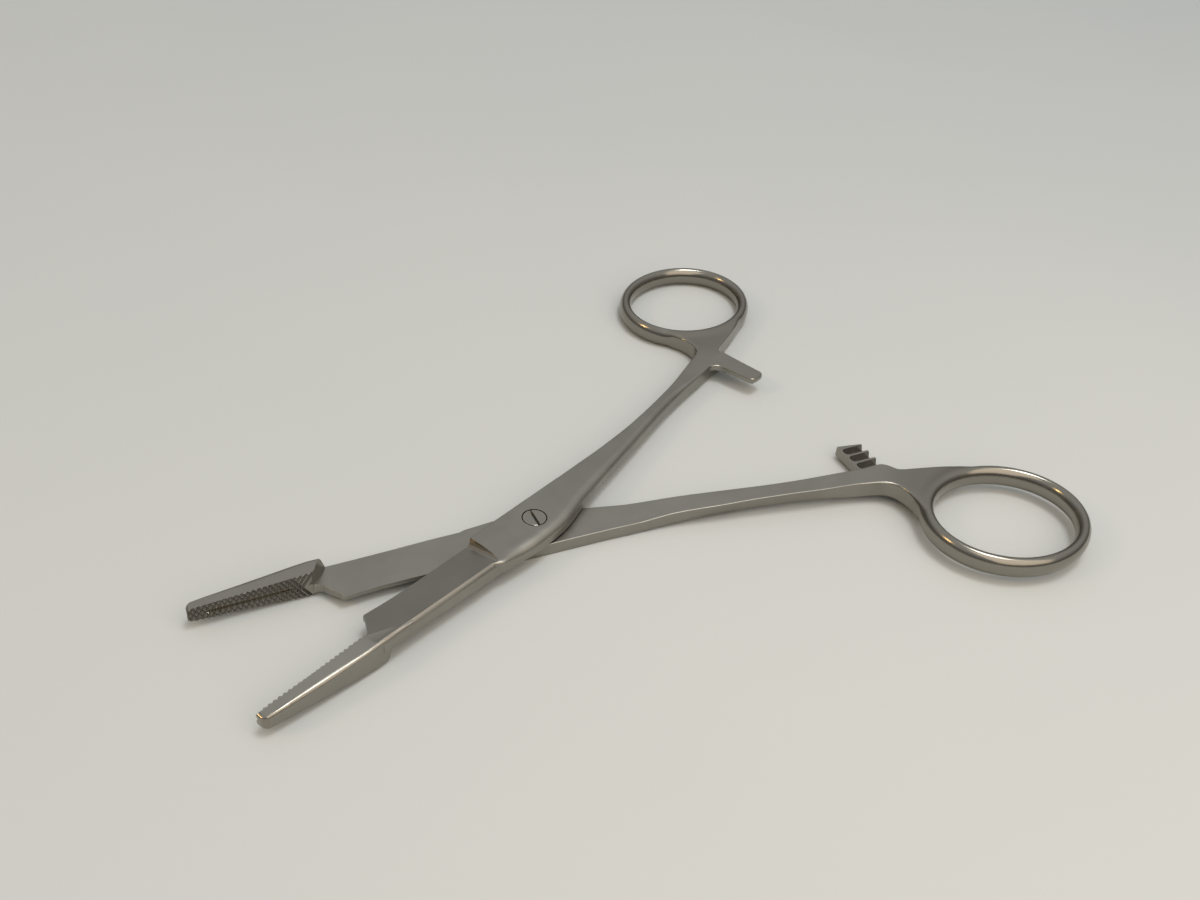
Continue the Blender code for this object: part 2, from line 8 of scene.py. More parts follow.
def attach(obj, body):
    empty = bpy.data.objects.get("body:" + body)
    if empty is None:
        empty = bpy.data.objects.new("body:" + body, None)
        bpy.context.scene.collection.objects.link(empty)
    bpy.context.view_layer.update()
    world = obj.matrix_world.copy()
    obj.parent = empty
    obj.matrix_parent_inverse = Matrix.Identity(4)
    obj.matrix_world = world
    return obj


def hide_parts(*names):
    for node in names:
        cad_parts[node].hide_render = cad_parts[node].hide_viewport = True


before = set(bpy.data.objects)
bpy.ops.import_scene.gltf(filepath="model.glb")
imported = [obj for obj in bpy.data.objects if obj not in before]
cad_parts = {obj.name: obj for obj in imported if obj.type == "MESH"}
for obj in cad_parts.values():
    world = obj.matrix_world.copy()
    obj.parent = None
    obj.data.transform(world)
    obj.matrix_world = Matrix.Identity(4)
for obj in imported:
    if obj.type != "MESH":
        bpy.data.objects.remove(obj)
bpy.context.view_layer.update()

# Needle holder in ground and polished stainless steel, lying open on a sheet of pale paper.
# Both halves are drawn alike, in millimetres, as the upper half in its own frame: the pivot at the
# origin, the ring towards +X and +Y, the jaw's body on -Y and its gripping face near Y = 0. They
# differ in their edges, which are crisp on the face that shows, and in their ratchet arms.

MM = 0.001
OPEN_ANGLE = math.radians(24.1)
HEIGHT = 4.8
MID = 2.4
LAP = 2.55
JAW_GAP = 0.2

# Lock and shank
HEEL_X = -10.3
HEEL_ARC = 0.9
HEEL_TONGUE = 2.6
LOCK_OUTER_Y = 3.9
LOCK_INNER_Y = 4.2
LOCK_END_X = 10.0
WAIST_X = 44.0
WAIST_Y = 6.6
WAIST_W = 2.4
FALL_X = 20.0
FALL = 0.40
STEP_X = 16.5
STEP_RUN = 9.5
STEP = 0.85
# Edge radii: on the lock, on the face that shows, on the face below, and where web meets ring
LOCK_EDGE = 0.20
CRISP_EDGE = 0.26
SOFT_EDGE = 0.85
ROUND_EDGE = 1.3
EDGE_FADE_X = 16.0
EDGE_FADE_RUN = 10.0
# The eased shoulder along the inner edge of the face that shows
LOCK_SHOULDER = 1.3
SHANK_SHOULDER = 1.0
SHOULDER_FADE_X = 12.0
SHOULDER_FADE_RUN = 12.0
SHOULDER_START_RUN = 3.0
SHOULDER_END_X = 54.0
SHOULDER_END_RUN = 10.0
SHOULDER_DROP = 0.9
SHOULDER_EASE = 0.34
# How far the lower shank's hidden face reaches beyond the one that shows, along X
SHANK_DRAFTS = [(22.0, 0.0), (32.0, 0.75), (46.0, 0.75), (54.0, 0.0)]
HEEL_STEP = 1.2
SHANK_STEP = 1.5
# Each section of the tongue: how far back it lies, and how far its inside is drawn in
TONGUE_SECTIONS = ((1.0, 1.5), (0.92, 1.4), (0.62, 0.95), (0.33, 0.4))

# Neck and finger ring
NECK_X = 57.5
NECK_OUTER_Y = 11.3
NECK_INNER_Y = 7.2
NECK_HEIGHT = 3.2
NECK_BEND = 3.5
CROTCH_X = 63.0
CROTCH_Y = 9.5
WEB_IN = (72.2, 12.0)
WEB_OUT = (60.95, 17.1)
WEB_BULGE = 0.75
RING_X = 73.4
RING_Y = 25.4
RING_A = 13.5
RING_B = 11.4
RING_TURN = math.radians(3.5)
RING_WIDTH = 2.4
RING_HEIGHT = 3.7
RING_LEVEL = 1.85
RING_STEPS = 60
RING_SIDES = 12
# The smoothing of the skin draws the tube in by these
RING_FILL_WIDE = 1.025
RING_FILL_TALL = 1.04
RING_DOOR = (206.0, 276.0)
# Points across and up a section, and sections in the neck
ACROSS = 10
UP = 6
NECK_LOOPS = 15

# Blade and jaw
BLADE_EDGE_Y = 3.5
BLADE_EDGE_T = 0.75
BLADE_SPINE_Y = 3.2
BLADE_SPINE_FALL = 0.12
BLADE_END_X = -31.5
BLADE_CORNER = 0.6
BLADE_TOE_R = 1.3
BLADE_STEPS = 8
TOE_EDGE = 0.12
TOE_BEVEL = 0.55
SPINE_LINE_Y = 2.5
# Points of the spine's rounding: distance from the middle and depth below the spine line
SPINE_ROUND = [(SPINE_LINE_Y, 0.0), (2.85, 0.27), (3.09, 0.64), (BLADE_SPINE_Y, 1.10)]
# Keeps two faces that are joined or cut from lying in one plane
PLANE_GAP = 0.004
WHEEL_FAR_X = -16.0
WHEEL_TALL = 4.0
WHEEL_SIDES = (-6.0, 12.0)
WHEEL_STEPS = 12
JAW_BASE_X = -34.6
JAW_TIP_X = -52.2
JAW_BASE_H = 4.4
JAW_TIP_H = 2.3
JAW_BASE_W = 3.05
JAW_TIP_W = 1.7
JAW_TAPER = 1.25
JAW_EDGE = 0.10
JAW_BACK_TURNS = (0, 12, 30, 50, 70, 90)
JAW_STEPS = 14
JAW_DROP = 0.45
JAW_DROP_GAIN = 0.25
JAW_LEAN = 0.25
JAW_RUNOUT_X = -27.8
# Where the jaw's top flat meets its rounded back, in line with the blade's spine
JAW_RIDGE = [
    (JAW_TIP_X, -JAW_TIP_W * 0.78), (-49.6, -1.5), (-43.4, -1.72), (-39.0, -2.1), (-37.0, -2.35),
    (-33.7, -SPINE_LINE_Y), (JAW_RUNOUT_X, -SPINE_LINE_Y - 0.02),
]
# The nose: shares of the jaw's width and height left at its end, and turns of its sections
NOSE_WIDE = 0.35
NOSE_TALL = 0.66
NOSE_TURNS = (20, 36, 50, 62, 72, 80)
NOSE_POLISH = 4.0
SERR_PITCH = 0.8
SERR_DEPTH = 0.27
SERR_ANGLE = math.radians(56.0)
SERR_END_X = -36.2
CHANNEL_WIDTH = 0.6
CHANNEL_DEPTH = 0.35

# Ratchet arms
ARM_X0 = 58.5
UPPER_ARM_W = 4.0
LOWER_ARM_W = 4.9
ARM_REACH = 1.5
ARM_FILLET = 2.2
ARM_LOW = 2.5
UPPER_ARM_T = 1.05
LOWER_ARM_T = 1.70
UPPER_TOOTH = 0.60
LOWER_TOOTH = 1.05
TOOTH_PITCH = 2.1
TOOTH_COUNT = 3
TOOTH_FIRST_Y = -0.6
TOOTH_RIM = 0.40
# A notch's rounded blind end: distance from the end, and share of the full depth and width
TOOTH_END = ((0.0, 0.45), (0.12, 0.68), (0.35, 0.88), (0.8, 1.0))

# Pivot screw
HEAD_R = 1.85
HEAD_CONE = 0.7
HEAD_BAND = 0.3
BODY_R = 1.3
THREAD_R = 1.1
SCREW_CLEAR = 0.15
SLOT_WIDTH = 0.45
SLOT_DEPTH = 0.7
SLOT_TURN = math.radians(78.0)

# Points closer than this are welded, and faces that meet at more than these angles stay sharp
WELD = 2e-3
SHARP_DEG = 32
SCREW_SHARP_DEG = 18

SHEET_HALF_M = 1.5

# Material slots of the forging
GROUND, POLISHED, TOOTHED, BUFFED = 0, 1, 2, 3

# Photograph's viewpoint, in metres and degrees
FOCAL_MM = 35.836
EYE_PLACE = (-0.08616, -0.11045, 0.12539)
EYE_TURN = -41.625
EYE_TILT = 52.758
EYE_ROLL = 6.016


def through(points, x):
    """Smooth curve through (x, value) points, by cubic pieces with limited slopes."""
    n = len(points)
    if x <= points[0][0]:
        return points[0][1]
    if x >= points[-1][0]:
        return points[-1][1]
    rise = [
        (points[i + 1][1] - points[i][1]) / (points[i + 1][0] - points[i][0])
        for i in range(n - 1)
    ]
    slope = [rise[0]]
    for i in range(1, n - 1):
        same = rise[i - 1] * rise[i] > 0
        slope.append(2 * rise[i - 1] * rise[i] / (rise[i - 1] + rise[i]) if same else 0.0)
    slope.append(rise[-1])
    i = max(k for k in range(n - 1) if points[k][0] <= x)
    w = points[i + 1][0] - points[i][0]
    t = (x - points[i][0]) / w
    a = (1 + 2 * t) * (1 - t) ** 2
    b = t * (1 - t) ** 2
    c = t * t * (3 - 2 * t)
    d = t * t * (t - 1)
    return a * points[i][1] + b * w * slope[i] + c * points[i + 1][1] + d * w * slope[i + 1]


def along(points, t):
    """Plan point at share t of a smooth path through the points."""
    last = len(points) - 1
    return tuple(through([(i, p[k]) for i, p in enumerate(points)], t * last) for k in range(2))


def shank_top(x):
    """The lock's level, then a long straight fall to the neck's."""
    return through(
        [
            (LOCK_END_X - 2.0, HEIGHT),
            ((LOCK_END_X + FALL_X) / 2, HEIGHT - FALL * 0.4),
            (FALL_X, HEIGHT - FALL),
            (CROTCH_X, RING_LEVEL + NECK_HEIGHT / 2),
        ],
        x,
    )


def shank_low(x):
    """The lap's level, a short step clear of the lock, then the fall to the neck's."""
    return through(
        [
            (STEP_X, LAP),
            (STEP_X + STEP_RUN, LAP - STEP),
            (CROTCH_X, RING_LEVEL - NECK_HEIGHT / 2),
        ],
        x,
    )


def outer_y(x):
    """Plan line of the lock's and shank's outer edge, up to the neck."""
    half = WAIST_W / 2
    return through(
        [
            (HEEL_X, LOCK_OUTER_Y - 0.2),
            (0.0, LOCK_OUTER_Y),
            (LOCK_END_X, LOCK_OUTER_Y + 0.2),
            ((LOCK_END_X + WAIST_X) / 2, LOCK_OUTER_Y * 0.45 + (WAIST_Y + half) * 0.44),
            (WAIST_X, WAIST_Y + half),
            (NECK_X, NECK_OUTER_Y),
        ],
        x,
    )


def inner_y(x):
    """Plan line of the lock's and shank's inner edge, up to the neck."""
    half = WAIST_W / 2
    return through(
        [
            (HEEL_X, -BLADE_SPINE_Y - 0.55),
            (-3.0, -LOCK_INNER_Y),
            (2.5, -LOCK_INNER_Y + 0.3),
            (LOCK_END_X, -LOCK_INNER_Y + 2.25),
            ((LOCK_END_X + WAIST_X) / 2, (WAIST_Y - half) * 0.34),
            (WAIST_X, WAIST_Y - half),
            (NECK_X, NECK_INNER_Y),
        ],
        x,
    )


def oval(angle, out=0.0):
    """Plan point of the ring's middle line at an angle, moved outwards."""
    x = (RING_A + out) * math.cos(angle)
    y = (RING_B + out) * math.sin(angle)
    c, s = math.cos(RING_TURN), math.sin(RING_TURN)
    return RING_X + x * c - y * s, RING_Y + x * s + y * c


def ramp(x, start, run):
    """Share from 0 to 1 over a run of x."""
    return min(1.0, max(0.0, (x - start) / run))


def loop_of(bm, points):
    """A closed loop of edges through the points."""
    verts = [bm.verts.new(p) for p in points]
    return [bm.edges.new((verts[i - 1], verts[i])) for i in range(len(verts))]


def steps_between(count, first, last, length):
    """Shares from 0 to 1 with a tight step at each end, which keeps the edge there narrow."""
    a = min(first / length, 0.42)
    b = 1 - min(last / length, 0.42)
    return [0.0] + [a + (b - a) * k / (count - 2) for k in range(count - 1)] + [1.0]


def bar_loop(bm, inner, outer, low, top, edges, bulge=0.0, ease=0.0, draft=0.0):
    """One cross-section of the bar between two plan points.

    The edge radii are those of the corners low inside, low outside, top inside and top outside.
    Ease is how far the corner at the top inside is drawn in, and draft how far the low face
    reaches beyond the top one on the outside.
    """
    a = Vector((inner[0], inner[1], 0.0))
    b = Vector((outer[0], outer[1], 0.0))
    away = Vector((b.y - a.y, a.x - b.x, 0.0)).normalized() * -bulge

    def at(share, z):
        return a.lerp(b, share) + away * 4 * share * (1 - share) + Vector((0, 0, z))

    length = (b - a).length
    rise = [min(edge, SHOULDER_DROP, (top - low) * 0.4) for edge in edges]

    def upright(e0, e1):
        span = top - low - e0 - e1
        return [low + e0 + span * k / (UP - 3) for k in range(UP - 2)]

    lean = draft / length
    shares = steps_between(ACROSS, edges[0], edges[1], length)
    points = [at(share, low) for share in shares[:-2]]
    points += [at(share + lean, low) for share in shares[-2:]]
    points += [at(1.0 + lean * (top - z) / (top - low), z) for z in upright(rise[1], rise[3])]
    shares = steps_between(ACROSS, edges[2], edges[3], length)
    points += [at(share, top) for share in reversed(shares[1:])]
    points.append(at(edges[2] * ease / length, top - rise[2] * ease))
    points += [at(0.0, z) for z in reversed(upright(rise[0], rise[2]))]
    return loop_of(bm, points)


def skin(bm, loops):
    """Bridges each loop of edges to the next."""
    for a, b in zip(loops, loops[1:]):
        bmesh.ops.bridge_loops(bm, edges=a + b)


def lofted(bm, loops):
    """Skins the loops and caps both ends."""
    skin(bm, loops)
    for end in (loops[0], loops[-1]):
        bmesh.ops.contextual_create(bm, geom=end)


def shoulder_share(x):
    """The eased shoulder fades in at the heel and out before the ratchet arm."""
    fade_in = ramp(x, HEEL_X, SHOULDER_START_RUN)
    return fade_in * ramp(-x, -SHOULDER_END_X, SHOULDER_END_RUN)


def edges_at(x, upper):
    """Edge radii of a section: crisp on the face that shows, worn round on the other."""
    share = ramp(x, EDGE_FADE_X, EDGE_FADE_RUN)
    crisp = LOCK_EDGE + (CRISP_EDGE - LOCK_EDGE) * share
    soft = LOCK_EDGE + (SOFT_EDGE - LOCK_EDGE) * share
    fade = ramp(x, SHOULDER_FADE_X, SHOULDER_FADE_RUN)
    above = crisp if upper else soft
    slim = above + (SHANK_SHOULDER - above) * shoulder_share(x) if upper else above
    shoulder = LOCK_SHOULDER + (slim - LOCK_SHOULDER) * fade
    below = soft if upper else crisp
    return below, below, shoulder, above


def lock_loops(bm, upper):
    """A tongue for the blade, the lock, and the shank up to the neck."""
    loops = []
    tongue = LOCK_EDGE, LOCK_EDGE, SHOULDER_DROP, LOCK_EDGE
    for back, slim in TONGUE_SECTIONS:
        x = HEEL_X - HEEL_TONGUE * back
        inner = inner_y(HEEL_X) + slim
        outer = outer_y(HEEL_X) - slim * 0.2
        loops.append(bar_loop(bm, (x, inner), (x, outer), LAP, HEIGHT, tongue))
    x = HEEL_X - 0.1
    last = NECK_X - NECK_BEND
    while x < last - 0.8:
        ease = SHOULDER_EASE * shoulder_share(x) if upper else 0.0
        draft = 0.0 if upper else through(SHANK_DRAFTS, x)
        loops.append(bar_loop(
            bm, (x, inner_y(x)), (x, outer_y(x)), shank_low(x), shank_top(x), edges_at(x, upper),
            ease=ease, draft=draft,
        ))
        x += HEEL_STEP if x < HEEL_X + 2.0 else SHANK_STEP
    return loops


def neck_loops(bm, upper):
    """The neck, from square to the shank round to face the ring."""
    last = NECK_X - NECK_BEND
    inner = [
        (last, inner_y(last)),
        (NECK_X, NECK_INNER_Y),
        (CROTCH_X - 2.2, NECK_INNER_Y),
        (CROTCH_X - 0.77, NECK_INNER_Y + 1.03),
        (CROTCH_X, CROTCH_Y),
        (CROTCH_X + 1.27, CROTCH_Y + 0.53),
        (CROTCH_X + 3.9, CROTCH_Y + 1.15),
        WEB_IN,
    ]
    wide = WEB_OUT[0] - NECK_X
    tall = WEB_OUT[1] - NECK_OUTER_Y
    outer = [
        (last, outer_y(last)),
        (NECK_X - wide * 0.35, NECK_OUTER_Y - tall * 0.05),
        (NECK_X + wide * 0.28, NECK_OUTER_Y + tall * 0.07),
        (NECK_X + wide * 0.65, NECK_OUTER_Y + tall * 0.22),
        (NECK_X + wide * 0.88, NECK_OUTER_Y + tall * 0.44),
        (NECK_X + wide * 0.97, NECK_OUTER_Y + tall * 0.66),
        (NECK_X + wide, NECK_OUTER_Y + tall * 0.84),
        WEB_OUT,
    ]
    loops = []
    for i in range(NECK_LOOPS):
        t = i / (NECK_LOOPS - 1)
        n = along(inner, t)
        o = along(outer, t)
        x = (n[0] + o[0]) / 2
        inside = CRISP_EDGE + (SOFT_EDGE - CRISP_EDGE) * 0.6
        ends = inside, ROUND_EDGE, inside, ROUND_EDGE
        edges = [e + (end - e) * t for e, end in zip(edges_at(x, upper), ends)]
        loops.append(bar_loop(bm, n, o, shank_low(x), shank_top(x), edges, WEB_BULGE * t ** 3))
    return loops


def ring_with_door(bm):
    """The ring's tube, spun round and shaped to the oval, open where the neck joins it."""
    start = bmesh.ops.create_circle(bm, segments=RING_SIDES, radius=1.0)["verts"]
    arm = 10.0
    stand = Matrix.Translation((arm, 0, 0)) @ Matrix.Rotation(math.pi / 2, 4, "X")
    bmesh.ops.transform(bm, matrix=stand, verts=start)
    edges = [e for e in bm.edges if e.verts[0] in start and e.verts[1] in start]
    bmesh.ops.spin(
        bm, geom=start + edges, cent=(0, 0, 0), axis=(0, 0, 1), angle=2 * math.pi,
        steps=RING_STEPS, use_merge=True, use_duplicate=False,
    )
    bmesh.ops.remove_doubles(bm, verts=bm.verts, dist=1e-4)
    door = []
    for face in bm.faces:
        c = face.calc_center_median()
        turn = math.degrees(math.atan2(c.y, c.x)) % 360.0
        if RING_DOOR[0] < turn < RING_DOOR[1] and math.hypot(c.x, c.y) > arm:
            door.append(face)
    bmesh.ops.delete(bm, geom=door, context="FACES")
    for v in bm.verts:
        turn = math.atan2(v.co.y, v.co.x)
        out = math.hypot(v.co.x, v.co.y) - arm
        fat = out * RING_WIDTH / 2 * RING_FILL_WIDE
        tall = v.co.z * RING_HEIGHT / 2 * RING_FILL_TALL
        x, y = oval(turn)
        ox, oy = oval(turn, 1.0)
        away = Vector((ox - x, oy - y, 0.0)).normalized()
        v.co = Vector((x, y, RING_LEVEL + tall)) + away * fat
    return [e for e in bm.edges if len(e.link_faces) == 1]


def handle(upper):
    """Lock, shank, neck and ring in one skin, with forged blends where they meet."""
    bm = bmesh.new()
    rim = ring_with_door(bm)
    loops = lock_loops(bm, upper) + neck_loops(bm, upper)
    skin(bm, loops)
    skin(bm, [loops[-1], rim])
    bmesh.ops.contextual_create(bm, geom=loops[0])
    bmesh.ops.recalc_face_normals(bm, faces=bm.faces)
    for face in bm.faces:
        face.smooth = True
    piece = made_piece(bm, "handle")
    smooth = piece.modifiers.new("forged", "SUBSURF")
    smooth.levels = 2
    smooth.render_levels = 2
    return baked(piece)


def blade_edge_y(x):
    """Plan line of the cutting edge."""
    mid = (HEEL_X + BLADE_END_X) / 2
    return through(
        [
            (BLADE_END_X, BLADE_EDGE_Y + 0.35),
            (mid - 4.0, BLADE_EDGE_Y),
            (HEEL_X + 2.0, BLADE_EDGE_Y + 0.2),
        ],
        x,
    )


def arc(cx, cy, r, start, end, steps):
    """Plan points along part of a circle, between two angles in degrees."""
    out = []
    for i in range(steps + 1):
        a = math.radians(start + (end - start) * i / steps)
        out.append((cx + r * math.cos(a), cy + r * math.sin(a)))
    return out


def bend(a, b, c, t):
    """Quadratic curve from a to c that leans towards b."""
    return tuple((1 - t) ** 2 * a[k] + 2 * t * (1 - t) * b[k] + t * t * c[k] for k in range(2))


def rounded(corners, steps):
    """Outline with each (x, y, radius) corner rounded off."""
    out = []
    n = len(corners)
    for i, (x, y, r) in enumerate(corners):
        if r == 0:
            out.append((x, y))
            continue
        here = Vector((x, y))
        back = Vector(corners[i - 1][:2])
        ahead = Vector(corners[(i + 1) % n][:2])
        a = here + (back - here).normalized() * min(r, (back - here).length * 0.48)
        c = here + (ahead - here).normalized() * min(r, (ahead - here).length * 0.48)
        out += [bend(a, here, c, k / steps) for k in range(steps + 1)]
    return out


def plate(bm, outline, low, top):
    """A flat outline filled and extruded upwards."""
    verts = [bm.verts.new((x, y, low)) for x, y in outline]
    face = bm.faces.new(verts)
    made = bmesh.ops.extrude_face_region(bm, geom=[face])["geom"]
    lifted = [v for v in made if isinstance(v, bmesh.types.BMVert)]
    bmesh.ops.translate(bm, verts=lifted, vec=(0, 0, top - low))
    bmesh.ops.recalc_face_normals(bm, faces=bm.faces)


def ground_off(bm, point, normal):
    """Grinds a flat: takes away what lies beyond a plane and closes the cut."""
    geom = list(bm.verts) + list(bm.edges) + list(bm.faces)
    made = bmesh.ops.bisect_plane(
        bm, geom=geom, plane_co=point, plane_no=normal, clear_outer=True, dist=1e-5
    )
    rim = [e for e in made["geom_cut"] if isinstance(e, bmesh.types.BMEdge)]
    bmesh.ops.contextual_create(bm, geom=rim)


def break_edges(bm, edges, width, segments):
    """Rounds edges over as a polishing wheel leaves them."""
    made = bmesh.ops.bevel(
        bm, geom=edges, offset=width, offset_type="OFFSET", affect="EDGES", segments=segments,
        profile=0.5, material=-1, clamp_overlap=True,
    )
    for face in made["faces"]:
        face.material_index = POLISHED


def face_fall():
    """The blade's outer face: a point on its spine line, and its unit normal."""
    spine = Vector((0, -SPINE_LINE_Y, HEIGHT - BLADE_SPINE_FALL))
    foot = Vector((0, BLADE_EDGE_Y, LAP + BLADE_EDGE_T))
    fall = foot - spine
    return spine, Vector((0, -fall.z, fall.y)).normalized()


def blade():
    """Scissor blade's stock in plan, still at full height, with its spine rounded."""
    start = HEEL_X + 1.0
    outline = []
    for i in range(BLADE_STEPS):
        t = i / (BLADE_STEPS - 1)
        outline.append((start + (BLADE_END_X - start) * t, -BLADE_SPINE_Y - 0.5 * (1 - t) ** 2))
    r = BLADE_TOE_R
    outline.append((JAW_BASE_X + r * 0.9, -BLADE_SPINE_Y))
    outline.append((JAW_BASE_X - r * 0.45, -r * 0.3))
    outline += arc(JAW_BASE_X + r * 0.25, r, r, 270, 336, 8)
    edge = blade_edge_y(BLADE_END_X)
    c = BLADE_CORNER
    outline += arc(BLADE_END_X + c, edge - c, c, 188, 96, 6)
    for i in range(1, BLADE_STEPS + 1):
        x = BLADE_END_X + c + (start - BLADE_END_X - c) * i / BLADE_STEPS
        outline.append((x, blade_edge_y(x)))
    bm = bmesh.new()
    plate(bm, outline, LAP + PLANE_GAP, HEIGHT + 1.0)
    spine, face_normal = face_fall()
    ground_off(bm, spine, face_normal)
    for (y0, fall0), (y1, fall1) in zip(SPINE_ROUND, SPINE_ROUND[1:]):
        normal = Vector((0, fall0 - fall1, y1 - y0)).normalized()
        ground_off(bm, spine + Vector((0, SPINE_LINE_Y - y0, -fall0)), normal)
    toe = [
        e for e in bm.edges
        if e.is_manifold and e.calc_face_angle(0.0) > math.radians(20)
        and min(v.co.z for v in e.verts) > LAP + 0.3
        and max(v.co.x for v in e.verts) < BLADE_END_X + c * 1.2
        and min(v.co.y for v in e.verts) > 0.0
    ]
    break_edges(bm, toe, TOE_EDGE, 2)
    under = [
        e for e in bm.edges
        if max(v.co.z for v in e.verts) < LAP + 0.05
        and max(v.co.x for v in e.verts) < BLADE_END_X + c * 0.7
        and min(v.co.y for v in e.verts) > -r * 0.2
    ]
    break_edges(bm, under, TOE_BEVEL, 4)
    return made_piece(bm, "blade")


def heel_wheel():
    """What the wheel grinds off the blade's face: a slab with a rounded edge at the heel."""
    point, normal = face_fall()
    down = Vector((0, -normal.z, normal.y))
    if down.y < 0:
        down = -down
    profile = [(WHEEL_FAR_X, PLANE_GAP)]
    for k in range(WHEEL_STEPS + 1):
        a = math.radians(-90 + 90 * k / WHEEL_STEPS)
        x = HEEL_X - HEEL_ARC + HEEL_ARC * math.cos(a)
        profile.append((x, PLANE_GAP + HEEL_ARC + HEEL_ARC * math.sin(a)))
    profile += [(HEEL_X, WHEEL_TALL), (WHEEL_FAR_X, WHEEL_TALL)]
    bm = bmesh.new()
    loops = []
    for side in WHEEL_SIDES:
        points = [Vector((x, 0, 0)) + point + down * side + normal * h for x, h in profile]
        loops.append(loop_of(bm, points))
    lofted(bm, loops)
    bmesh.ops.recalc_face_normals(bm, faces=bm.faces)
    # The fillet takes the buffed steel, whose darker, browner tone is painted shade.
    for face in bm.faces:
        face.material_index = GROUND if abs(face.normal.dot(normal)) > 0.97 else BUFFED
    return made_piece(bm, "heel_wheel")


def gripping_y(x):
    """The gripping face, proud at the tip, and the diagonal where the jaw runs out."""
    face = -JAW_GAP / 2
    if x <= JAW_BASE_X:
        return face + JAW_LEAN * (JAW_BASE_X - x) / (JAW_BASE_X - JAW_TIP_X)
    t = (x - JAW_BASE_X) / (JAW_RUNOUT_X - JAW_BASE_X)
    return face - (BLADE_SPINE_Y - 0.6) * t


def jaw_loop(bm, x, inner, outer, ridge, high, drop):
    """Cross-section of the jaw: flat gripping side, flat top, and a back rounded off the ridge."""
    top = high / 2
    k = JAW_EDGE
    back = []
    for a in JAW_BACK_TURNS:
        turn = math.radians(a)
        back.append((ridge + (outer - ridge) * math.sin(turn), top - drop * (1 - math.cos(turn))))
    flat = inner - k + (ridge - inner + k) * 0.93
    upper = [(inner, 0.0), (inner, top - k), (inner - k * 0.3, top - k * 0.3)]
    upper += [(inner - k, top), (flat, top)] + back
    lower = [(y, -z) for y, z in reversed(upper[1:])]
    points = upper + [(outer, 0.0)] + lower
    return loop_of(bm, [(x, y, MID + z) for y, z in points])


def jaw():
    """Tapered jaw with a rounded nose."""
    span = JAW_BASE_X - JAW_TIP_X
    stations = [JAW_RUNOUT_X, (JAW_RUNOUT_X + JAW_BASE_X) / 2, JAW_BASE_X]
    stations += [JAW_BASE_X - span * i / JAW_STEPS for i in range(1, JAW_STEPS - 1)]
    nose_r = JAW_TIP_W * 0.62
    stations += [JAW_TIP_X + nose_r * (1 - math.sin(math.radians(a))) for a in NOSE_TURNS]
    bm = bmesh.new()
    loops = []
    for x in stations:
        t = max(0.0, (JAW_BASE_X - x) / span)
        wide = JAW_BASE_W + (JAW_TIP_W - JAW_BASE_W) * t ** JAW_TAPER
        high = JAW_BASE_H + (JAW_TIP_H - JAW_BASE_H) * t
        nose = max(0.0, 1 - (x - JAW_TIP_X) / nose_r)
        full = math.sqrt(max(0.0, 1 - nose * nose))
        slim = NOSE_WIDE + (1 - NOSE_WIDE) * full
        drop = (JAW_DROP + JAW_DROP_GAIN * t) * slim
        high *= NOSE_TALL + (1 - NOSE_TALL) * full
        inner = gripping_y(x)
        outer = -wide * slim
        ridge = min(through(JAW_RIDGE, x) * slim, inner - (inner - outer) * 0.4)
        loops.append(jaw_loop(bm, x, inner, outer, max(ridge, outer + 0.12), high, drop))
    lofted(bm, loops)
    bmesh.ops.recalc_face_normals(bm, faces=bm.faces)
    # The rounded back takes the buffed steel, whose darker, browner tone is painted shade.
    for face in bm.faces:
        flat = max(abs(face.normal.y), abs(face.normal.z)) > 0.96
        nose = face.calc_center_median().x < JAW_TIP_X + NOSE_POLISH
        face.material_index = GROUND if flat else POLISHED if nose else BUFFED
    piece = made_piece(bm, "jaw")
    return cut(piece, jaw_relief(), "DIFFERENCE")


def jaw_relief():
    """Room under the blade for the other half's blade, with a sloping wall at the jaw."""
    near = JAW_BASE_X - 0.3
    mid = BLADE_END_X - BLADE_TOE_R
    far = BLADE_END_X
    end = JAW_RUNOUT_X + 6.0
    wide = 9.0
    bm = bmesh.new()
    loops = []
    for z, back in ((LAP, 0.0), (MID - JAW_BASE_H, 1.0)):
        points = [
            (near - back * 0.45, JAW_GAP), (mid - back * 1.6, -BLADE_EDGE_Y / 2),
            (far - back * 4.0, -JAW_BASE_W - 0.8), (far - back * 4.0, -wide),
            (end, -wide), (end, wide), (near - back * 0.45, wide),
        ]
        loops.append(loop_of(bm, [(x, y, z) for x, y in points]))
    lofted(bm, loops)
    return one_steel(bm, "jaw_relief", GROUND)


def serrations(lean):
    """Rows of V grooves across the gripping face, all leaning one way."""
    bm = bmesh.new()
    reach = JAW_BASE_H * 0.75
    run = reach / math.tan(SERR_ANGLE)
    proud = 0.1
    wide = SERR_PITCH * 0.42 + proud
    deep = SERR_DEPTH * (1.0 - 0.05 * lean) + proud
    count = int((SERR_END_X - JAW_TIP_X) / SERR_PITCH) + 1
    for i in range(count):
        x = SERR_END_X - SERR_PITCH * (i + 0.13 * lean)
        ends = []
        for side in (-1, 1):
            cx = x + lean * side * run
            y = gripping_y(min(cx, JAW_BASE_X)) + proud
            ends.append(Vector((cx, y, MID + side * reach)))
        tip = [(-wide, 0.0), (0.0, -deep), (wide, 0.0)]
        face = bm.faces.new([bm.verts.new(ends[0] + Vector((u, v, 0.0))) for u, v in tip])
        made = bmesh.ops.extrude_face_region(bm, geom=[face])["geom"]
        moved = [v for v in made if isinstance(v, bmesh.types.BMVert)]
        bmesh.ops.translate(bm, verts=moved, vec=ends[1] - ends[0])
    return one_steel(bm, "serrations", TOOTHED)


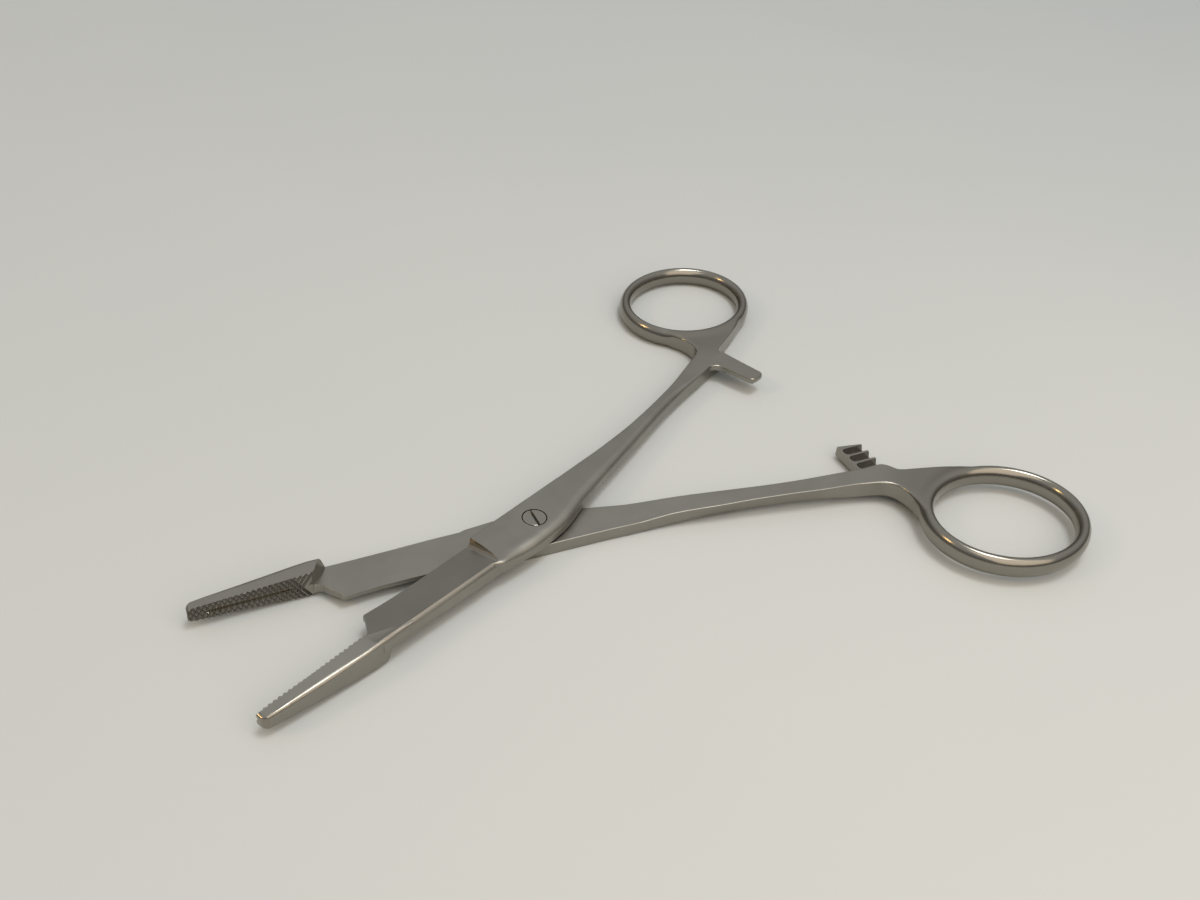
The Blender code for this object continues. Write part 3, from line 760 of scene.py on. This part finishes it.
def channel():
    """Channel along the middle of the gripping face, running out at both ends."""
    x0 = JAW_TIP_X + 3.0
    x1 = SERR_END_X - 1.5
    half = CHANNEL_WIDTH / 2
    bm = bmesh.new()
    loops = []
    for x, share in ((x0 - 1.0, -0.3), (x0, 1.0), (x1, 1.0), (x1 + 1.0, -0.3)):
        face = gripping_y(x)
        y = face - CHANNEL_DEPTH * share
        points = [(face + 0.3, -half), (y, -half * 0.4), (y, half * 0.4), (face + 0.3, half)]
        loops.append(loop_of(bm, [(x, py, MID + pz) for py, pz in points]))
    lofted(bm, loops)
    return one_steel(bm, "channel", POLISHED)


def ratchet_arm(upper):
    """Ratchet arm with its end rounded and its root blended on the lock's side."""
    thick = UPPER_ARM_T if upper else LOWER_ARM_T
    root = NECK_INNER_Y + 1.4
    f = ARM_FILLET
    foot = NECK_INNER_Y
    wide = UPPER_ARM_W if upper else LOWER_ARM_W
    side = ARM_X0 + wide
    if upper:
        end = [(side, -ARM_REACH, 1.4), (ARM_X0 + 0.5, -ARM_REACH + 0.2, 1.1)]
    else:
        end = [(side, -ARM_REACH + 0.8, 0.4), (ARM_X0, -ARM_REACH, 0.4)]
    corners = [
        (side + wide * 0.06, root, 0), (side, foot - f, 0), *end,
        (ARM_X0, foot - f, 0), (ARM_X0 - f * 0.08, foot - f * 0.62, 0),
        (ARM_X0 - f * 0.30, foot - f * 0.30, 0), (ARM_X0 - f * 0.64, foot - f * 0.10, 0),
        (ARM_X0 - f * 1.10, foot + f * 0.02, 0), (ARM_X0 - f * 1.10, root, 0),
    ]
    bm = bmesh.new()
    plate(bm, rounded(corners, 8), ARM_LOW, ARM_LOW + thick)
    soft = [
        e for e in bm.edges
        if all(v.co.z > ARM_LOW + thick - 1e-4 for v in e.verts)
        and max(v.co.y for v in e.verts) < root - 1e-3
    ]
    break_edges(bm, soft, 0.22, 4)
    return cut(made_piece(bm, "arm"), saw_teeth(upper, side), "DIFFERENCE")


def saw_teeth(upper, side):
    """Saw-tooth notches, blind towards the lock and open towards the ring."""
    depth = UPPER_TOOTH if upper else LOWER_TOOTH
    x0 = ARM_X0 + TOOTH_RIM
    bm = bmesh.new()
    for i in range(-1 if upper else 0, TOOTH_COUNT):
        crest = TOOTH_FIRST_Y + TOOTH_PITCH * i
        foot = crest + TOOTH_PITCH * 0.20
        rise = crest + TOOTH_PITCH * 0.95
        loops = []
        middle = (crest + rise) / 2
        for x, share in [(x0 + run, share) for run, share in TOOTH_END] + [(side + 2.0, 1.0)]:
            top = ARM_LOW + depth * share
            under = ARM_LOW - 0.2
            points = [(crest, under), (foot, top), (foot + TOOTH_PITCH * 0.12, top), (rise, under)]
            loops.append(loop_of(bm, [(x, middle + (y - middle) * share, z) for y, z in points]))
        lofted(bm, loops)
    return one_steel(bm, "saw_teeth", TOOTHED)


def turned(profile, name, steps=64):
    """A profile of (radius, height) points spun about the pivot axis."""
    bm = bmesh.new()
    verts = [bm.verts.new((r, 0.0, z)) for r, z in profile]
    edges = [bm.edges.new(pair) for pair in zip(verts, verts[1:])]
    bmesh.ops.spin(
        bm, geom=verts + edges, cent=(0, 0, 0), axis=(0, 0, 1), angle=2 * math.pi,
        steps=steps, use_merge=True, use_duplicate=False,
    )
    bmesh.ops.remove_doubles(bm, verts=bm.verts, dist=1e-4)
    return one_steel(bm, name, POLISHED)


def pivot_hole(upper):
    """Countersunk hole in the upper half, plain hole in the lower one."""
    if upper:
        r = HEAD_R + SCREW_CLEAR
        neck = BODY_R + SCREW_CLEAR
        profile = [(0.0, HEIGHT + 0.5), (r, HEIGHT + 0.5), (r, HEIGHT - HEAD_BAND)]
        profile += [(neck, HEIGHT - HEAD_CONE - HEAD_BAND), (neck, LAP - 0.5), (0.0, LAP - 0.5)]
    else:
        neck = THREAD_R + SCREW_CLEAR
        profile = [(0.0, HEIGHT + 0.5), (neck, HEIGHT + 0.5), (neck, LAP - 0.5), (0.0, LAP - 0.5)]
    return turned(profile, "pivot_hole")


def made_piece(bm, name):
    """Turns the drawn mesh into an object with the four steels in its slots."""
    me = bpy.data.meshes.new(name)
    bm.to_mesh(me)
    bm.free()
    piece = bpy.data.objects.new(name, me)
    bpy.context.scene.collection.objects.link(piece)
    for steel in (GROUND_STEEL, POLISHED_SHADED_STEEL, TOOTHED_SHADED_STEEL, BUFFED_SHADED_STEEL):
        me.materials.append(steel)
    return piece


def one_steel(bm, name, slot):
    """Turns the drawn mesh into an object with a single steel all over."""
    bmesh.ops.recalc_face_normals(bm, faces=bm.faces)
    for face in bm.faces:
        face.material_index = slot
    return made_piece(bm, name)


def baked(piece):
    """Applies a piece's modifiers to its mesh."""
    bpy.context.view_layer.update()
    graph = bpy.context.evaluated_depsgraph_get()
    made = bpy.data.meshes.new_from_object(piece.evaluated_get(graph))
    old = piece.data
    piece.modifiers.clear()
    piece.data = made
    bpy.data.meshes.remove(old)
    return piece


def cut(piece, tool, operation):
    """Joins a piece with another or cuts it by one, and clears the tool away."""
    step = piece.modifiers.new(tool.name, "BOOLEAN")
    step.operation = operation
    step.solver = "EXACT"
    step.object = tool
    baked(piece)
    mesh = tool.data
    bpy.data.objects.remove(tool, do_unlink=True)
    bpy.data.meshes.remove(mesh)
    return piece


def forging(upper):
    """One half ground and cut, before its ratchet arm and the pivot hole."""
    piece = handle(upper)
    cut(piece, blade(), "UNION")
    cut(piece, heel_wheel(), "DIFFERENCE")
    cut(piece, jaw(), "UNION")
    for lean in (-1, 1):
        cut(piece, serrations(lean), "DIFFERENCE")
    return cut(piece, channel(), "DIFFERENCE")


def finished_half(name, upper):
    """One half with its own arm and hole, in its place in the open instrument."""
    piece = forging(upper)
    piece.name = name
    piece.data.name = name
    cut(piece, ratchet_arm(upper), "UNION")
    cut(piece, pivot_hole(upper), "DIFFERENCE")
    turn = OPEN_ANGLE / 2 if upper else -OPEN_ANGLE / 2
    place = Matrix.Rotation(turn, 4, "Z") @ Matrix.Scale(MM, 4)
    if not upper:
        middle = Matrix.Translation((0, 0, MID))
        place = place @ middle @ Matrix.Rotation(math.pi, 4, "X") @ middle.inverted()
    bm = bmesh.new()
    bm.from_mesh(piece.data)
    bmesh.ops.remove_doubles(bm, verts=bm.verts, dist=WELD)
    bmesh.ops.dissolve_degenerate(bm, edges=bm.edges, dist=WELD)
    loose = [e for e in bm.edges if not e.link_faces]
    bmesh.ops.delete(bm, geom=loose, context="EDGES")
    bmesh.ops.transform(bm, matrix=place, verts=bm.verts)
    bmesh.ops.recalc_face_normals(bm, faces=bm.faces)
    bm.to_mesh(piece.data)
    bm.free()
    piece.data.shade_smooth()
    piece.data.set_sharp_from_angle(angle=math.radians(SHARP_DEG))
    weigh = piece.modifiers.new("flats", "WEIGHTED_NORMAL")
    weigh.keep_sharp = True
    weigh.weight = 60
    return piece


def pivot_screw():
    """Turned screw with a flush slotted head and its threaded end flush below."""
    seat = HEIGHT - HEAD_CONE
    rim = 0.06
    profile = [
        (0.0, HEIGHT), (HEAD_R - rim, HEIGHT), (HEAD_R - rim * 0.3, HEIGHT - rim * 0.3),
        (HEAD_R, HEIGHT - rim), (HEAD_R, HEIGHT - HEAD_BAND), (BODY_R, seat - HEAD_BAND),
        (BODY_R, LAP), (THREAD_R, LAP - 0.3), (THREAD_R, 0.08), (THREAD_R - 0.08, 0.0), (0.0, 0.0),
    ]
    screw = turned(profile, "pivot_screw_turned", 96)
    half = SLOT_WIDTH / 2
    bm = bmesh.new()
    outline = [(-3.0, -half), (3.0, -half), (3.0, half), (-3.0, half)]
    plate(bm, outline, HEIGHT - SLOT_DEPTH, HEIGHT + 1.0)
    bmesh.ops.rotate(bm, verts=bm.verts, cent=(0, 0, 0), matrix=Matrix.Rotation(SLOT_TURN, 3, "Z"))
    cut(screw, one_steel(bm, "slot", TOOTHED), "DIFFERENCE")
    screw.data.transform(Matrix.Scale(MM, 4))
    screw.data.shade_smooth()
    for face in screw.data.polygons:
        if face.normal.z > 0.99:
            face.material_index = GROUND
    screw.data.set_sharp_from_angle(angle=math.radians(SCREW_SHARP_DEG))
    return screw


def linear(hex_code):
    """sRGB hex to the linear values that shaders take."""
    values = [int(hex_code[i:i + 2], 16) / 255 for i in (1, 3, 5)]
    values = [v / 12.92 if v <= 0.04045 else ((v + 0.055) / 1.055) ** 2.4 for v in values]
    return tuple(values) + (1.0,)


def add(tree, kind, settings=None, links=None):
    """Adds a node, with values for its sockets or settings and links into its sockets."""
    node = tree.nodes.new(kind)
    for key, value in (settings or {}).items():
        if isinstance(key, int) or key in node.inputs:
            node.inputs[key].default_value = value
        else:
            setattr(node, key, value)
    for key, source in (links or {}).items():
        tree.links.new(source, node.inputs[key])
    return node


def blank(name):
    """A material with an empty node tree."""
    steel = bpy.data.materials.new(name)
    steel.use_nodes = True
    steel.node_tree.nodes.clear()
    return steel, steel.node_tree


def polish_and_shade_off_the_rings(tree, place):
    """Runs from 0 on both finger rings to 1 on the necks, where the polish and the rings' painted
    shade fade out.
    """
    flat = add(tree, "ShaderNodeVectorMath", {"operation": "MULTIPLY", 1: (1, 1, 0)}, {0: place})
    folded = add(
        tree, "ShaderNodeVectorMath", {"operation": "ABSOLUTE"}, {0: flat.outputs["Vector"]},
    )
    c, s = math.cos(OPEN_ANGLE / 2), math.sin(OPEN_ANGLE / 2)
    ring = ((RING_X * c - RING_Y * s) * MM, (RING_X * s + RING_Y * c) * MM, 0.0)
    away = add(
        tree, "ShaderNodeVectorMath", {"operation": "DISTANCE", 1: ring},
        {0: folded.outputs["Vector"]},
    )
    share = add(
        tree, "ShaderNodeMapRange",
        {"interpolation_type": "SMOOTHSTEP", "From Min": 15.5 * MM, "From Max": 22.0 * MM},
        {"Value": away.outputs["Value"]},
    )
    return share.outputs["Result"]


def steel_finish(name, dark, light, rough, grain, grain_mm, spots, ring=None):
    """Stainless steel with fine directional grain, cloudy tone and handling marks.

    Grain is how strongly the lines show and grain_mm how far apart they lie. Spots is the size of
    the marks in millimetres, and ring the (tone, roughness) that the finish fades to at the rings,
    where the darker tone is painted shade.
    """
    steel, tree = blank(name)
    place = add(tree, "ShaderNodeTexCoord")
    size = add(
        tree, "ShaderNodeMapping",
        {"Scale": (1 / MM, 1 / MM, 1 / MM)}, {"Vector": place.outputs["Object"]},
    )
    clouds = add(
        tree, "ShaderNodeTexNoise", {"Scale": 1 / 9.0, "Detail": 3.0, "Roughness": 0.55},
        {"Vector": size.outputs["Vector"]},
    )
    tone = add(
        tree, "ShaderNodeMapRange", {"From Min": 0.35, "From Max": 0.68},
        {"Value": clouds.outputs["Fac"]},
    )
    colour = add(
        tree, "ShaderNodeMix", {"data_type": "RGBA", 6: linear(dark), 7: linear(light)},
        {0: tone.outputs["Result"]},
    )
    lines = add(
        tree, "ShaderNodeMapping", {"Scale": (1 / (grain_mm * 30), 1 / grain_mm, 1 / grain_mm)},
        {"Vector": size.outputs["Vector"]},
    )
    scratch = add(
        tree, "ShaderNodeTexNoise", {"Scale": 1.0, "Detail": 2.0, "Roughness": 0.6},
        {"Vector": lines.outputs["Vector"]},
    )
    blotch = add(
        tree, "ShaderNodeTexNoise", {"Scale": 1 / spots, "Detail": 4.0, "Roughness": 0.6},
        {"Vector": size.outputs["Vector"]},
    )
    uneven = add(
        tree, "ShaderNodeMapRange",
        {"From Min": 0.3, "From Max": 0.7, "To Min": rough * 0.90, "To Max": rough * 1.12},
        {"Value": blotch.outputs["Fac"]},
    )
    streak = add(
        tree, "ShaderNodeMath", {"operation": "MULTIPLY_ADD", 1: 0.10, 2: -0.05},
        {0: scratch.outputs["Fac"]},
    )
    total = add(
        tree, "ShaderNodeMath", {"operation": "ADD"},
        {0: uneven.outputs["Result"], 1: streak.outputs["Value"]},
    )
    bump = add(
        tree, "ShaderNodeBump", {"Strength": grain, "Distance": 0.02 * MM},
        {"Height": scratch.outputs["Fac"]},
    )
    tint, gloss = colour.outputs[2], total.outputs["Value"]
    # At the rings the tone darkens as painted shade, and the roughness falls to the wheel's polish.
    if ring:
        share = polish_and_shade_off_the_rings(tree, place.outputs["Object"])
        shaded = add(
            tree, "ShaderNodeMix", {"data_type": "RGBA", 6: linear(ring[0])}, {0: share, 7: tint},
        )
        eased = add(tree, "ShaderNodeMix", {"data_type": "FLOAT", 2: ring[1]}, {0: share, 3: gloss})
        tint, gloss = shaded.outputs[2], eased.outputs[0]
    skin_shader = add(
        tree, "ShaderNodeBsdfPrincipled", {"Metallic": 1.0},
        {"Base Color": tint, "Roughness": gloss, "Normal": bump.outputs["Normal"]},
    )
    add(tree, "ShaderNodeOutputMaterial", {}, {"Surface": skin_shader.outputs["BSDF"]})
    return steel


# Stainless steel ground on a fine belt: a grey satin that shows soft shapes only. It fades to the
# rings' polish, as the wheel leaves it, and there to a darker tone that is painted shade for the
# dim reflections the rings show. The belt's lines are finer than a pixel, so they are drawn 0.16 mm
# apart.
GROUND_STEEL = steel_finish(
    "satin_ground_steel", "#95928A", "#9C9991", 0.36, 0.20, 0.16, 2.5, ring=("#928E85", 0.19),
)

# Stainless steel polished on a soft wheel: small clear lights on the jaw's nose and broken edges.
# Its tone, a little darker and browner than the satin's, is painted shade.
POLISHED_SHADED_STEEL = steel_finish("polished_steel_painted_shade", "#918C82", "#99948A", 0.18, 0.08, 0.30, 4.0)

# Stainless steel as the milling cutter leaves it in grooves and ratchet teeth: a broken sparkle,
# with a darker tone than the faces that is painted shade in the recesses. The cutter's marks are
# drawn
# 0.25 mm apart, coarser than real ones.
TOOTHED_SHADED_STEEL = steel_finish("milled_tooth_steel_painted_shade", "#827E77", "#928E87", 0.25, 0.25, 0.25, 1.5)

# Stainless steel dressed by hand on a small wheel: softer than polish, brighter than satin, on the
# heel's fillet and the jaw's back. Its tone, darker and browner than the satin's, is painted shade,
# browned for the warm room that these sideways faces reflect. Its marks are drawn 0.25 mm apart.
BUFFED_SHADED_STEEL = steel_finish("buffed_steel_painted_shade", "#88837A", "#908B82", 0.29, 0.12, 0.25, 3.0)


def paper():
    """Uncoated machine-made paper: matt and faintly cloudy.

    Its fibres are finer than a pixel, so the tooth is drawn 1.1 mm wide.
    """
    sheet, tree = blank("uncoated_paper")
    place = add(tree, "ShaderNodeTexCoord")
    clouds = add(
        tree, "ShaderNodeTexNoise", {"Scale": 1 / 0.09, "Detail": 2.0},
        {"Vector": place.outputs["Object"]},
    )
    colour = add(
        tree, "ShaderNodeMix", {"data_type": "RGBA", 6: linear("#C5C8C8"), 7: linear("#CACCCA")},
        {0: clouds.outputs["Fac"]},
    )
    tooth = add(
        tree, "ShaderNodeTexNoise", {"Scale": 1 / 0.0011, "Detail": 3.0},
        {"Vector": place.outputs["Object"]},
    )
    bump = add(
        tree, "ShaderNodeBump", {"Strength": 0.12, "Distance": 0.00005},
        {"Height": tooth.outputs["Fac"]},
    )
    skin_shader = add(
        tree, "ShaderNodeBsdfPrincipled", {"Roughness": 0.9, "Specular IOR Level": 0.2},
        {"Base Color": colour.outputs[2], "Normal": bump.outputs["Normal"]},
    )
    add(tree, "ShaderNodeOutputMaterial", {}, {"Surface": skin_shader.outputs["BSDF"]})
    return sheet


def stage():
    """A wide sheet under the instrument."""
    bm = bmesh.new()
    bmesh.ops.create_grid(bm, x_segments=1, y_segments=1, size=SHEET_HALF_M)
    me = bpy.data.meshes.new("paper_sheet")
    bm.to_mesh(me)
    bm.free()
    sheet = bpy.data.objects.new("paper_sheet", me)
    bpy.context.scene.collection.objects.link(sheet)
    me.materials.append(paper())


def lamp(name, place, aim, size, watts, colour):
    """A rectangular lamp at a place, turned to its aim."""
    data = bpy.data.lights.new(name, "AREA")
    data.shape = "RECTANGLE"
    data.size, data.size_y = size
    data.energy = watts
    data.color = linear(colour)[:3]
    ob = bpy.data.objects.new(name, data)
    ob.location = place
    ob.rotation_euler = (Vector(aim) - Vector(place)).to_track_quat("-Z", "Y").to_euler()
    bpy.context.scene.collection.objects.link(ob)


def light_and_camera():
    """Skylight, two warm lamps, an even pale room, and the photograph's viewpoint."""
    lamp("window", (0.22, -0.08, 1.22), (0, 0, 0), (0.38, 0.38), 4.4, "#FDFEFF")
    lamp("room_lamp", (0.01, -0.22, 0.20), (0.01, -0.09, 0), (0.36, 0.36), 0.42, "#FFEDD6")
    lamp("desk_lamp", (-0.72, 0.34, 0.56), (0, 0, 0), (0.16, 0.16), 1.0, "#FFCF84")
    world = bpy.data.worlds.new("room")
    world.use_nodes = True
    tree = world.node_tree
    ground = tree.nodes["Background"]
    ground.inputs["Strength"].default_value = 1.0
    place = add(tree, "ShaderNodeTexCoord")
    height = add(tree, "ShaderNodeSeparateXYZ", {}, {"Vector": place.outputs["Generated"]})
    share = add(
        tree, "ShaderNodeMapRange",
        {"interpolation_type": "SMOOTHSTEP", "From Min": 0.0, "From Max": 0.75},
        {"Value": height.outputs["Z"]},
    )
    sky = add(
        tree, "ShaderNodeMix", {"data_type": "RGBA", 6: linear("#6C6A66"), 7: linear("#C9CAC9")},
        {0: share.outputs["Result"]},
    )
    tree.links.new(sky.outputs[2], ground.inputs["Color"])
    bpy.context.scene.world = world
    data = bpy.data.cameras.new("viewpoint")
    data.sensor_width = 36.0
    data.lens = FOCAL_MM
    data.clip_start = 0.005
    eye = bpy.data.objects.new("viewpoint", data)
    turn = Matrix.Rotation(math.radians(EYE_TURN), 4, "Z")
    tilt = Matrix.Rotation(math.radians(EYE_TILT), 4, "X")
    roll = Matrix.Rotation(math.radians(EYE_ROLL), 4, "Z")
    eye.matrix_world = Matrix.Translation(EYE_PLACE) @ turn @ tilt @ roll
    bpy.context.scene.collection.objects.link(eye)
    bpy.context.scene.camera = eye
    bpy.context.scene.view_settings.view_transform = "Standard"


def dress():
    """Builds the pieces, and has each ride on the body that carries its solid."""
    top = finished_half("upper_half_forged", True)
    low = finished_half("lower_half_forged", False)
    screw = pivot_screw()
    for piece, node, body, slot in (
        (top, "upper_half", "upper", "satin_steel"),
        (low, "lower_half", "lower", "satin_steel_lower"),
        (screw, "pivot_screw", "lower", "screw_steel"),
    ):
        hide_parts(node)
        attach(piece, body)


dress()
stage()
light_and_camera()
